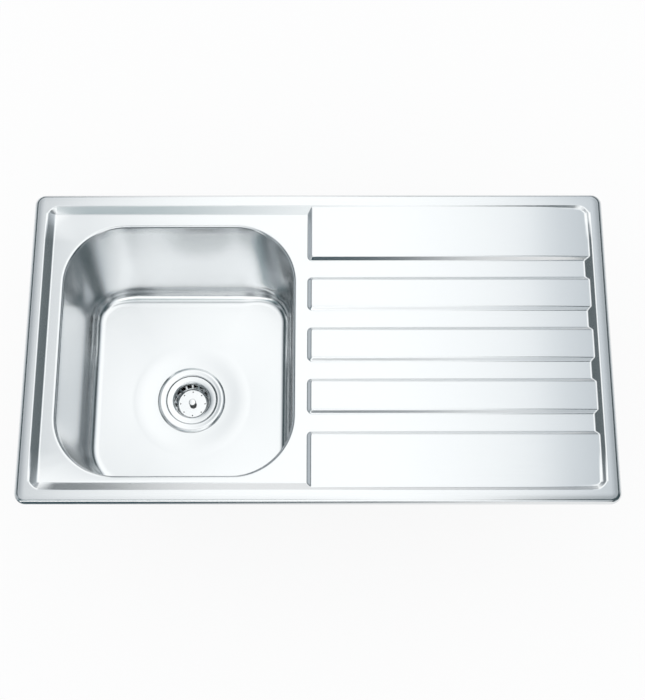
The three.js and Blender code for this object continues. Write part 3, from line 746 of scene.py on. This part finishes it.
def layFloor(bm, ring, last, shares, radii, depth):
    # rings from the foot of the walls to the seat round the waste, and on into the seat
    middle = Vector(bowl["drain"])

    def towards(point, radius, step, height):
        flat = Vector((point.x, point.y))
        goal = middle + (flat - middle).normalized() * radius
        return Vector((*flat.lerp(goal, step), height - depth))

    for share in shares:
        step, height = (share - last) / (1 - last), floorTop - bowl["floorFall"] * share
        ring = nextRing(bm, ring, lambda point: towards(point, radii[0], step, height))
        last = share
    for radius in radii:
        ring = nextRing(bm, ring, lambda point: towards(point, radius, 1, seatHeight(radius)))


def makeShell():
    bm = bmesh.new()
    outerBorder, innerBorder = makeDeckGrid(bm)
    # rim, from its top line outwards and down
    edge, run = top["rimEdge"], top["crownRun"]
    crown = []
    for inset in range(run - 1, edge - 1, -2):
        crown.append((inset, rimTop - top["rimCrown"] * (1 - inset / run) ** 2))
    edgeTop = rimTop - top["rimCrown"] * (1 - edge / run) ** 2
    tip = asin(2 * top["rimCrown"] / run * (1 - edge / run))
    for i in range(top["edgeSteps"] + 1):
        angle = (pi / 2 - tip) * (1 - i / top["edgeSteps"])
        crown.append((edge - edge * cos(angle), edgeTop - edge + edge * sin(angle)))
    crown.append((0, deck - top["sheet"]))
    ring = rimOutline.loop(bm, -run, rimTop, top["cornerSteps"], top["sideStep"])
    fillBetween(bm, outerBorder + ring)
    for inset, z in crown:
        ring = nextRing(bm, ring, lambda point: rimOutline.inside(point, inset, z))
    # lip, wall and cove of the bowl
    ring = bowlOutline.loop(bm, bowl["lip"] + bowl["flatEdge"], deck, bowl["cornerSteps"], bowl["sideStep"])
    fillBetween(bm, innerBorder + ring)
    for station in range(len(bowlProfile(Vector((1, 0))))):
        ring = nextRing(bm, ring, lambda point: onWall(point, station))
    layFloor(bm, ring, 0, bowl["floorShares"], seatRadii(bowl["seatRings"], bowl["hole"]), 0)
    faceOutwards(bm)
    return bm


shellMesh = makeShell()
print("shell", len(shellMesh.verts), len(shellMesh.faces))
finishPiece(shellMesh, "sink_shell", brushed, "root", ("sink_top", "bowl"), top["sheet"])


# waste: flange with a softly falling edge, cup with a fine thread outside, and the spigot for the trap

waste = {
    "flange": 56, "flangeTop": -195.2, "sheet": 1.2,
    "edgeTurn": 1,
    # the raised ring along the flange's edge
    "rimSlope": 4.2, "rimDrop": 1.55, "rimRise": 0.9, "rimTop": 2, "rimFall": 4.6,
    "cup": 43, "cupInside": 41.8, "mouthRun": 2, "mouthDrop": 0.5,
    "cupFloor": -238.2, "cupFloorRadius": 34, "cupFoot": 6,
    "outlet": 19, "spigot": 23.5, "spigotFoot": -260.2, "spigotChamfer": 0.7, "spigotShoulder": 0.6,
    "cupThread": (-228, -201.5, 1.6, 0.35),  # from, to, pitch, depth
    "spigotThread": (-258.5, -242, 2.3, 0.7),
}

drain = tuple(middleOf("waste_body")[:2])
wasteSteps = 96


def makeWaste(v):
    flangeFoot = v["flangeTop"] - v["sheet"]
    profile = [(v["outlet"], v["spigotFoot"], 0.5), (v["spigot"] - v["spigotChamfer"], v["spigotFoot"], 0.3)]
    profile += threadProfile(v["spigot"], *v["spigotThread"])
    profile += [
        (v["spigot"], v["cupFloor"] - v["sheet"] - v["spigotShoulder"], 0.5),
        (v["cupFloorRadius"] + v["sheet"], v["cupFloor"] - v["sheet"], 2.5),
        (v["cup"], v["cupFloor"] + v["cupFoot"], 2.5),
    ]
    profile += threadProfile(v["cup"], *v["cupThread"])
    profile += [
        (v["cup"], flangeFoot - v["mouthDrop"], 0.6),
        (v["cup"] + v["mouthRun"], flangeFoot, 0.6),
        (v["flange"] - v["sheet"], flangeFoot),
        (v["flange"] - v["sheet"], flangeFoot - v["edgeTurn"]),
        (v["flange"], flangeFoot - v["edgeTurn"], 0.3),
    ]
    crest, shoulder = v["flangeTop"] + v["rimRise"], v["flange"] - v["rimSlope"]
    profile += [
        (v["flange"], crest - v["rimDrop"], 0.4),
        (shoulder, crest, 0.9),
        (shoulder - v["rimTop"], crest, 0.8),
        (shoulder - v["rimTop"] - v["rimFall"], v["flangeTop"], 1.4),
        (v["cupInside"] + v["mouthRun"], v["flangeTop"], 0.6),
        (v["cupInside"], v["flangeTop"] - v["mouthDrop"], 0.4),
        (v["cupInside"], v["cupFloor"] + v["cupFoot"], 2.5),
        (v["cupFloorRadius"], v["cupFloor"], 2),
        (v["outlet"], v["cupFloor"], 1),
    ]
    return turned(profile, drain, wasteSteps)


finishPiece(makeWaste(waste), "waste_flange_and_cup", polished, "root", ("waste_body",))


# soft rings that the lock nut squeezes against the bowl, and the nut

rings = {
    "gasket": {"inner": 45.6, "outer": 54.5, "rounding": 0.25},
    "rubber": {"inner": 43.3, "outer": 56, "rounding": 0.7},
    "slip": {"inner": 43.3, "outer": 56, "rounding": 0.2},
}


def makeRing(v, node):
    low, high = (corner.z for corner in boxOf(node))
    corners = [(v["inner"], low), (v["outer"], low), (v["outer"], high), (v["inner"], high)]
    return turned([(*corner, v["rounding"]) for corner in corners], drain, wasteSteps)


finishPiece(makeRing(rings["gasket"], "flange_gasket"), "gasket_ring", foam, "root",
            ("flange_gasket",))
finishPiece(makeRing(rings["rubber"], "rubber_washer"), "rubber_ring", rubber, "root",
            ("rubber_washer",))
finishPiece(makeRing(rings["slip"], "slip_ring"), "nylon_ring", nylon, "root", ("slip_ring",))


lockNut = {"bore": 43.3, "wall": 6, "lugs": 6, "lugReach": 8, "lugWidth": 11, "steps": 90, "rounding": 0.8}


def makeLockNut(v):
    low, high = (corner.z for corner in boxOf("lock_nut"))
    outer = v["bore"] + v["wall"]
    bm = turned([(v["bore"], low), (outer, low), (outer, high), (v["bore"], high)], drain, v["steps"])
    centre = Vector((*drain, (low + high) / 2))
    for i in range(v["lugs"]):
        turn = Matrix.Rotation(2 * pi * i / v["lugs"], 3, "Z")
        outwards, across = turn @ Vector((1, 0, 0)), turn @ Vector((0, 1, 0))
        wall = []
        for face in bm.faces:
            away = face.calc_center_median() - centre
            onWall = abs(face.normal.z) < 0.1 and away.dot(outwards) > outer - 1
            if onWall and abs(away.dot(across)) < v["lugWidth"] / 2:
                wall.append(face)
        made = bmesh.ops.extrude_face_region(bm, geom=wall)["geom"]
        bmesh.ops.delete(bm, geom=wall, context="FACES")
        tip = onlyType(made, bmesh.types.BMVert)
        reach = max(abs((vert.co - centre).dot(across)) for vert in tip)
        for vert in tip:
            side = (vert.co - centre).dot(across) / reach * v["lugWidth"] / 2
            level = Vector((*centre.xy, vert.co.z))
            vert.co = level + outwards * (outer + v["lugReach"]) + across * side
    bmesh.ops.recalc_face_normals(bm, faces=bm.faces)
    sharp = [edge for edge in bm.edges if edge.calc_face_angle(0) > radians(40)]
    roundEdges(bm, sharp, v["rounding"], 2, clamped=True)
    return bm


finishPiece(makeLockNut(lockNut), "lock_nut_with_lugs", zinc, "root", ("lock_nut",))
print("waste ready")


# strainer basket: rolled rim, slotted wall and a floor with round holes

basket = {
    "rim": 41.3, "rimTop": -196.4, "sheet": 0.8,
    "rimEdge": 0.8, "dish": 1.4, "mouth": 29.5, "neck": 4,
    "floorRadius": 25, "floorTop": -219.2, "corner": 1.5,
    "postHole": 3.3,
    "steps": 128,
    "slots": 16, "slotLow": -214.6, "slotHigh": -202.6, "slotWide": 6,  # in columns of the mesh
    "holes": 8, "holeCircle": 20.5, "holeRadius": 1.1,
    "holePatch": 1.15,  # the patch of mesh that a hole is cut from, in radii of the hole
    "holeRows": 6,
    "innerRing": 8,
}


def makeBasket(v):
    rim, top, floor = v["rim"], v["rimTop"], v["floorTop"]
    slope = (v["mouth"] - v["sheet"] - v["floorRadius"]) / (top - v["neck"] - floor - v["corner"])
    profile = [
        (rim, top - 2 * v["sheet"]), (rim, top - v["rimEdge"], 0.4), (rim - v["rimEdge"], top, 0.4),
        (v["mouth"] + v["dish"], top - v["dish"], 1), (v["mouth"] - v["sheet"], top - v["neck"], 1.6),
    ]
    for z in (v["slotHigh"], (v["slotHigh"] + v["slotLow"]) / 2, v["slotLow"]):
        profile.append((v["floorRadius"] + (z - floor - v["corner"]) * slope, z))
    profile += [(v["floorRadius"], floor + v["corner"], 0.8), (v["floorRadius"] - v["corner"], floor, 0.8)]
    reach, rows = v["holeRadius"] * v["holePatch"], v["holeRows"]
    profile += [(v["holeCircle"] + reach * (1 - 2 * i / rows), floor) for i in range(rows + 1)]
    profile += [(v["innerRing"], floor), (v["postHole"], floor)]
    bm = turned(profile, drain, v["steps"], closed=False)
    # openings are cut out of the columns of faces
    columns, perSlot, perHole = v["steps"], v["steps"] // v["slots"], v["steps"] // v["holes"]
    holeColumns = round(2 * reach / (2 * pi * v["holeCircle"]) * columns / 2) * 2
    gone, holeFaces = [], []
    for face in bm.faces:
        centre = face.calc_center_median()
        away = centre.xy - Vector(drain)
        column = int(atan2(away.y, away.x) / (2 * pi) * columns % columns)
        fromSlot = abs(column % perSlot - perSlot / 2 + 0.5)
        if v["slotLow"] < centre.z < v["slotHigh"] and fromSlot < v["slotWide"] / 2:
            gone.append(face)
        fromHole = abs((column + perHole / 2) % perHole - perHole / 2 + 0.5)
        onCircle = abs(centre.z - floor) < 0.01 and abs(away.length - v["holeCircle"]) < reach
        if onCircle and fromHole < holeColumns / 2:
            holeFaces.append(face)
    corners = {vert for face in holeFaces for vert in face.verts}
    bmesh.ops.delete(bm, geom=gone + holeFaces, context="FACES")
    middle = Vector((*drain, floor))
    for vert in corners & set(bm.verts):
        away = vert.co - middle
        angle = round(atan2(away.y, away.x) / (2 * pi) * v["holes"]) * 2 * pi / v["holes"]
        hole = middle + v["holeCircle"] * Vector((cos(angle), sin(angle), 0))
        vert.co = hole + (vert.co - hole).normalized() * v["holeRadius"]
    faceOutwards(bm)
    bmesh.ops.solidify(bm, geom=bm.faces[:], thickness=v["sheet"])
    return bm


finishPiece(makeBasket(basket), "strainer_basket", polished, "basket", ("basket_cup",))


# what stands in the basket: a knob pressed on the post, and the stopper under the basket

knob = {
    "outer": 5.9, "neck": 4.6, "bore": 3.3, "foot": -218.9, "top": -209.8,
    "neckShare": 0.4, "headShare": 0.7,  # of the height, where the neck ends and the head begins
    "steps": 48,
}


def makeKnob(v):
    height = v["top"] - v["foot"]
    neckTop, headFoot = v["foot"] + height * v["neckShare"], v["foot"] + height * v["headShare"]
    return turned([
        (v["bore"], v["foot"]), (v["neck"], v["foot"], 0.4), (v["neck"], neckTop, 0.8),
        (v["outer"], headFoot, 0.6), (v["outer"], v["top"], 0.3), (v["bore"], v["top"]),
    ], drain, v["steps"])


post = {
    "radius": 3, "head": 7, "headFoot": -240.2, "headTop": -238.2,
    "collar": 5, "collarFoot": -233.6, "collarTop": -220.3,
    "button": 5.5, "buttonFoot": -209.6, "buttonTop": -208.8,
    "steps": 48,
}


def makePost(v):
    return turned([
        (0, v["headFoot"]), (v["head"], v["headFoot"], 0.7), (v["head"], v["headTop"], 0.4),
        (v["radius"], v["headTop"]), (v["radius"], v["collarFoot"]), (v["collar"], v["collarFoot"], 0.4),
        (v["collar"], v["collarTop"], 0.4), (v["radius"], v["collarTop"]), (v["radius"], v["buttonFoot"]),
        (v["button"], v["buttonFoot"], 0.2), (v["button"], v["buttonTop"], 0.6), (0, v["buttonTop"]),
    ], drain, v["steps"])


stopper = {
    "outer": 26, "bore": 3.3, "foot": -237.9, "top": -233.9,
    "groove": (17, 18, 23, 24), "grooveDepth": 0.8,  # moulded round its underside
    "skirtRise": 0.6, "shoulder": 3, "shoulderDrop": 1.2,
    "recess": (9, 8), "recessDepth": 0.6,
    "rounding": 0.5, "shoulderRounding": (0.8, 1),
    "steps": 72,
}


def makeStopper(v):
    low, high, edge = v["foot"], v["top"], v["rounding"]
    grooveTop, recessFoot = low + v["grooveDepth"], high - v["recessDepth"]
    profile = [(v["bore"], low)]
    profile += [(r, z, edge) for r, z in zip(v["groove"], (low, grooveTop, grooveTop, low))]
    profile += [
        (v["outer"], low + v["skirtRise"], edge),
        (v["outer"], high - v["shoulderDrop"], v["shoulderRounding"][0]),
        (v["outer"] - v["shoulder"], high, v["shoulderRounding"][1]),
        (v["recess"][0], high, edge), (v["recess"][1], recessFoot, edge), (v["bore"], recessFoot),
    ]
    return turned(profile, drain, v["steps"])


# the knob is given the near-black nylon, whose colour is painted shade for the shadow and dark reflection
# round it
finishPiece(makeKnob(knob), "moulded_knob", knobNylonPaintedShade, "basket", ("basket_knob",))
finishPiece(makePost(post), "plug_post", polished, "basket", ("basket_post",))
finishPiece(makeStopper(stopper), "rubber_stopper", rubber, "basket", ("basket_stopper",))
print("basket ready")


# fixing rails: lipped channels of rolled steel strip

rail = {"wall": 1, "slot": 5.6, "bend": 1.6, "innerBend": 0.6, "chamfer": 0.15}


def makeRail(v, node):
    bm = bmesh.new()
    low, high = boxOf(node)
    size, middle = high - low, (low + high) / 2
    alongX = size.x > size.y
    length, half = max(size.x, size.y), min(size.x, size.y) / 2
    wall, slot = v["wall"], v["slot"] / 2
    lip, roof, inner, bent = low.z + wall, high.z - wall, v["innerBend"], v["bend"]
    outline = [
        (-half, low.z, bent), (-slot, low.z), (-slot, lip), (wall - half, lip, inner),
        (wall - half, roof, inner), (half - wall, roof, inner), (half - wall, lip, inner),
        (slot, lip), (slot, low.z), (half, low.z, bent), (half, high.z, bent), (-half, high.z, bent),
    ]
    verts = closedWire(bm, [(-length / 2, y, z) for y, z, *_ in outline])
    roundCorners(bm, verts, outline, 4)
    faces = onlyType(bmesh.ops.contextual_create(bm, geom=bm.edges[:])["faces"], bmesh.types.BMFace)
    shift(bm, bmesh.ops.extrude_face_region(bm, geom=faces)["geom"], (length, 0, 0))
    bmesh.ops.recalc_face_normals(bm, faces=bm.faces)
    ends = [edge for edge in bm.edges if abs(edge.verts[0].co.x - edge.verts[1].co.x) < 1e-4]
    roundEdges(bm, ends, v["chamfer"], 1)
    return settle(bm, middle, 0 if alongX else pi / 2)


for side in ("back", "front", "left", "right"):
    finishPiece(makeRail(rail, "rail_" + side), "rail_" + side + "_channel", zinc, "root",
                ("rail_" + side,))
print("rails ready")


# clamps: hammer-head bolt, claw, washer and wing nut

bolt = {
    "radius": 2.5, "thread": 0.8, "threadDepth": 0.3, "plainShank": 7, "head": 3, "rounding": 0.4,
    "point": 0.5, "pointIn": 0.2,  # bare end below the thread
    "runOut": 0.3,  # from the thread to the plain shank
    "inHead": 0.5,  # how far the shank reaches into the head
    "steps": 16,
}


def makeBolt(v, node, centre, turn):
    low, high = boxOf(node)
    underHead = high.z - v["head"]
    threadTop = underHead - v["plainShank"]
    profile = [(0, low.z), (v["radius"] - v["threadDepth"] - v["pointIn"], low.z)]
    profile += threadProfile(v["radius"], low.z + v["point"], threadTop, v["thread"], v["threadDepth"])
    shankTop = underHead + v["inHead"]
    profile += [(v["radius"], threadTop + v["runOut"]), (v["radius"], shankTop), (0, shankTop)]
    bm = turned(profile, (0, 0), v["steps"])
    block = bmesh.ops.create_cube(bm, size=1)["verts"]
    sides = high.x - low.x, high.y - low.y
    bmesh.ops.scale(bm, vec=(max(sides), min(sides), v["head"]), verts=block)
    bmesh.ops.translate(bm, vec=(0, 0, underHead + v["head"] / 2), verts=block)
    roundEdges(bm, {edge for vert in block for edge in vert.link_edges}, v["rounding"], 2)
    return settle(bm, centre, turn)


wingNut = {
    "hub": 5, "hubHeight": 6, "hubFoot": 2, "hubFootIn": 0.4, "hubTopIn": 0.8, "play": 0.3, "steps": 32,
    "span": 24, "wing": 1.6, "wingDrop": 3, "wingHeight": 9, "wingEdge": 0.35,
    "tip": 4, "lean": 0.6, "throat": 1, "throatRise": 1.4, "root": 0.8, "rootIn": 0.4,
}


def makeWingNut(v, node, centre, turn):
    low = boxOf(node)[0].z
    foot, tip = low + v["wingDrop"], v["span"] / 2
    bore, top, wingTop = bolt["radius"] + v["play"], foot + v["hubHeight"], low + v["wingHeight"]
    bm = turned([
        (bore, foot), (v["hub"] - v["hubFootIn"], foot, 0.5), (v["hub"], foot + v["hubFoot"], 0.5),
        (v["hub"] - v["hubTopIn"], top, 0.6), (bore, top),
    ], (0, 0), v["steps"])
    # two stamped wings, let into the hub
    root, shoulder = bore + v["rootIn"], tip - v["tip"]
    outline = [
        (root, foot + v["root"]), (shoulder - v["throat"], low + v["throatRise"], 1.5),
        (tip - v["lean"], low, 2), (tip, wingTop - v["lean"], 2), (shoulder, wingTop, 2),
        (root, top - v["root"]),
    ]
    for side in (-1, 1):
        known = set(bm.verts)
        verts = closedWire(bm, [(side * x, -v["wing"] / 2, z) for x, z, *_ in outline])
        roundCorners(bm, verts, outline, 4)
        fresh = {edge for vert in bm.verts if vert not in known for edge in vert.link_edges}
        face = bmesh.ops.contextual_create(bm, geom=list(fresh))["faces"]
        shift(bm, bmesh.ops.extrude_face_region(bm, geom=face)["geom"], (0, v["wing"], 0))
        border = [edge for edge in bm.edges if known.isdisjoint(edge.verts) and
                  abs(edge.verts[0].co.y - edge.verts[1].co.y) < 1e-4]
        roundEdges(bm, border, v["wingEdge"], 2)
    bmesh.ops.recalc_face_normals(bm, faces=bm.faces)
    return settle(bm, centre, turn)


washer = {"outer": 6.5, "hole": 3.1, "edge": 0.4, "holeEdge": 0.2, "steps": 32}


def makeWasher(v, node, centre, turn):
    low, high = (corner.z for corner in boxOf(node))
    bm = turned([
        (v["hole"], low, v["holeEdge"]), (v["outer"], low, v["edge"]),
        (v["outer"], high, v["edge"]), (v["hole"], high, v["holeEdge"]),
    ], (0, 0), v["steps"])
    return settle(bm, centre, turn)


claw = {
    "sheet": 2, "width": 16, "tooth": 6, "bend": 1.4, "bendSteps": 6, "corner": 3, "edge": 0.25,
    "hole": 3.1, "holeSteps": 24,
}


def makeClaw(v, node, centre, turn, reach, tail):
    bm = bmesh.new()
    low = boxOf(node)[0].z
    half, sheet, bendAt = v["width"] / 2, v["sheet"], reach - v["sheet"] - v["bend"]
    # flat strip with the bolt's hole
    corner = v["corner"]
    outline = [(-tail, -half, corner), (bendAt, -half), (bendAt, half), (-tail, half, corner)]
    roundCorners(bm, closedWire(bm, [(x, y, low) for x, y, *_ in outline]), outline, 5)
    hole = bmesh.ops.create_circle(bm, segments=v["holeSteps"], radius=v["hole"])["verts"]
    bmesh.ops.translate(bm, vec=(0, 0, low), verts=hole)
    fillBetween(bm, bm.edges[:], -1)
    # the tip is bent up into a tooth
    tip = [edge for edge in bm.edges if all(abs(vert.co.x - bendAt) < 1e-3 for vert in edge.verts)]
    centreLine = (bendAt, 0, low + sheet + v["bend"])
    made = bmesh.ops.spin(bm, geom=tip, cent=centreLine, axis=(0, -1, 0), angle=pi / 2,
                          steps=v["bendSteps"])["geom_last"]
    tooth = bmesh.ops.extrude_edge_only(bm, edges=onlyType(made, bmesh.types.BMEdge))["geom"]
    shift(bm, tooth, (0, 0, v["tooth"] - v["bend"]))
    mergeAndTurn(bm)
    bm.normal_update()
    if max(bm.faces, key=lambda face: face.calc_area()).normal.z > 0:
        bmesh.ops.reverse_faces(bm, faces=bm.faces)
    bmesh.ops.solidify(bm, geom=bm.faces[:], thickness=sheet)
    sharp = [edge for edge in bm.edges if edge.calc_face_angle(0) > radians(50)]
    roundEdges(bm, sharp, v["edge"], 1)
    return settle(bm, centre, turn)


for number in range(1, 7):
    name = "clamp_%d_" % number
    axis = middleOf(name + "bolt")
    away = (middleOf(name + "claw") - axis).xy
    turn = atan2(away.y, away.x)
    low, high = boxOf(name + "claw")
    length = max(high.x - low.x, high.y - low.y)
    reach = length / 2 + away.length
    parts = [
        (makeBolt(bolt, name + "bolt", axis, turn), "bolt", "hammer_head_bolt", "root"),
        (makeClaw(claw, name + "claw", axis, turn, reach, length - reach), "claw", "bent_claw",
         name + "claw"),
        (makeWasher(washer, name + "washer", axis, turn), "washer", "flat_washer", name + "washer"),
        (makeWingNut(wingNut, name + "wing_nut", axis, turn), "wing_nut", "stamped_wing_nut",
         name + "nut"),
    ]
    for bm, node, label, body in parts:
        finishPiece(bm, name + label, zinc, body, (name + node,))
print("clamps ready")


# foam strip under the rim

seal = {
    "inset": 3.5, "width": 7.5, "height": 6.6, "bulge": 0.4, "edge": 1.2, "edgeCut": 0.3,
    "cornerSteps": 8, "sideStep": 30,
}


def makeSeal(v):
    bm = bmesh.new()
    inset, edge, height, cut = v["inset"], v["edge"], v["height"], v["edge"] * v["edgeCut"]
    section = [  # inset from the rim's outer edge, and height
        (inset + edge, 0), (inset + cut, cut), (inset, edge), (inset + v["bulge"] / 2, height / 2),
        (inset, height - edge), (inset + cut, height - cut), (inset + edge, height),
    ]
    section += [(2 * inset + v["width"] - across, z) for across, z in reversed(section)]
    ring = rimOutline.loop(bm, -section[0][0], section[0][1], v["cornerSteps"], v["sideStep"])
    for across, z in section[1:] + section[:1]:
        ring = nextRing(bm, ring, lambda point: rimOutline.inside(point, across, z))
    mergeAndTurn(bm)
    return bm


finishPiece(makeSeal(seal), "foam_seal", foam, "root", ("seal_strip",))


# sound pads stuck under the floor and the drainboard

bowlPad = {
    "thick": 3, "rounding": 1, "gap": 0.3, "wallGap": 38, "bareRadius": 82,
    "seatRings": 6, "floorShares": (0.6, 0.8, 0.97), "cornerSteps": 16, "sideStep": 12,
}


def makeBowlPad(v):
    # its upper face; the thickness goes below
    bm = bmesh.new()
    depth = top["sheet"] + v["gap"]
    middle = Vector(bowl["drain"])
    start = v["wallGap"] / ((bowl["back"] - bowl["front"]) / 2 - bowl["seatEdge"])
    radii = seatRadii(v["seatRings"], v["bareRadius"])
    ring = bowlOutline.loop(bm, 0, floorTop, v["cornerSteps"], v["sideStep"])
    for vert in bm.verts:
        foot = onWall(vert.co, -1).xy
        edge = middle + (foot - middle).normalized() * radii[0]
        vert.co = (*foot.lerp(edge, start), floorTop - bowl["floorFall"] * start - depth)
    layFloor(bm, ring, start, v["floorShares"], radii, depth)
    faceOutwards(bm)
    return bm


boardPad = {"drop": 1.4, "corner": 12, "cornerSteps": 8, "rounding": 1}


def makeBoardPad(v):
    bm = bmesh.new()
    low, high = boxOf("drainboard_pad")
    outline = Outline(low.x, high.x, low.y, high.y, v["corner"])
    # a side step longer than the pad leaves its sides whole
    foot = low.z - v["drop"]
    border = outline.loop(bm, 0, foot, v["cornerSteps"], high.x - low.x)
    face = bmesh.ops.contextual_create(bm, geom=border)["faces"]
    shift(bm, bmesh.ops.extrude_face_region(bm, geom=face)["geom"], (0, 0, high.z - low.z))
    bmesh.ops.recalc_face_normals(bm, faces=bm.faces)
    lower = [edge for edge in bm.edges if all(abs(vert.co.z - foot) < 1e-3 for vert in edge.verts)]
    roundEdges(bm, lower, v["rounding"], 3)
    return bm


finishPiece(makeBowlPad(bowlPad), "bowl_sound_pad", bitumen, "root", ("bowl_pad",),
            bowlPad["thick"], bowlPad["rounding"])
finishPiece(makeBoardPad(boardPad), "drainboard_sound_pad", bitumen, "root", ("drainboard_pad",))
print("seal and pads ready")
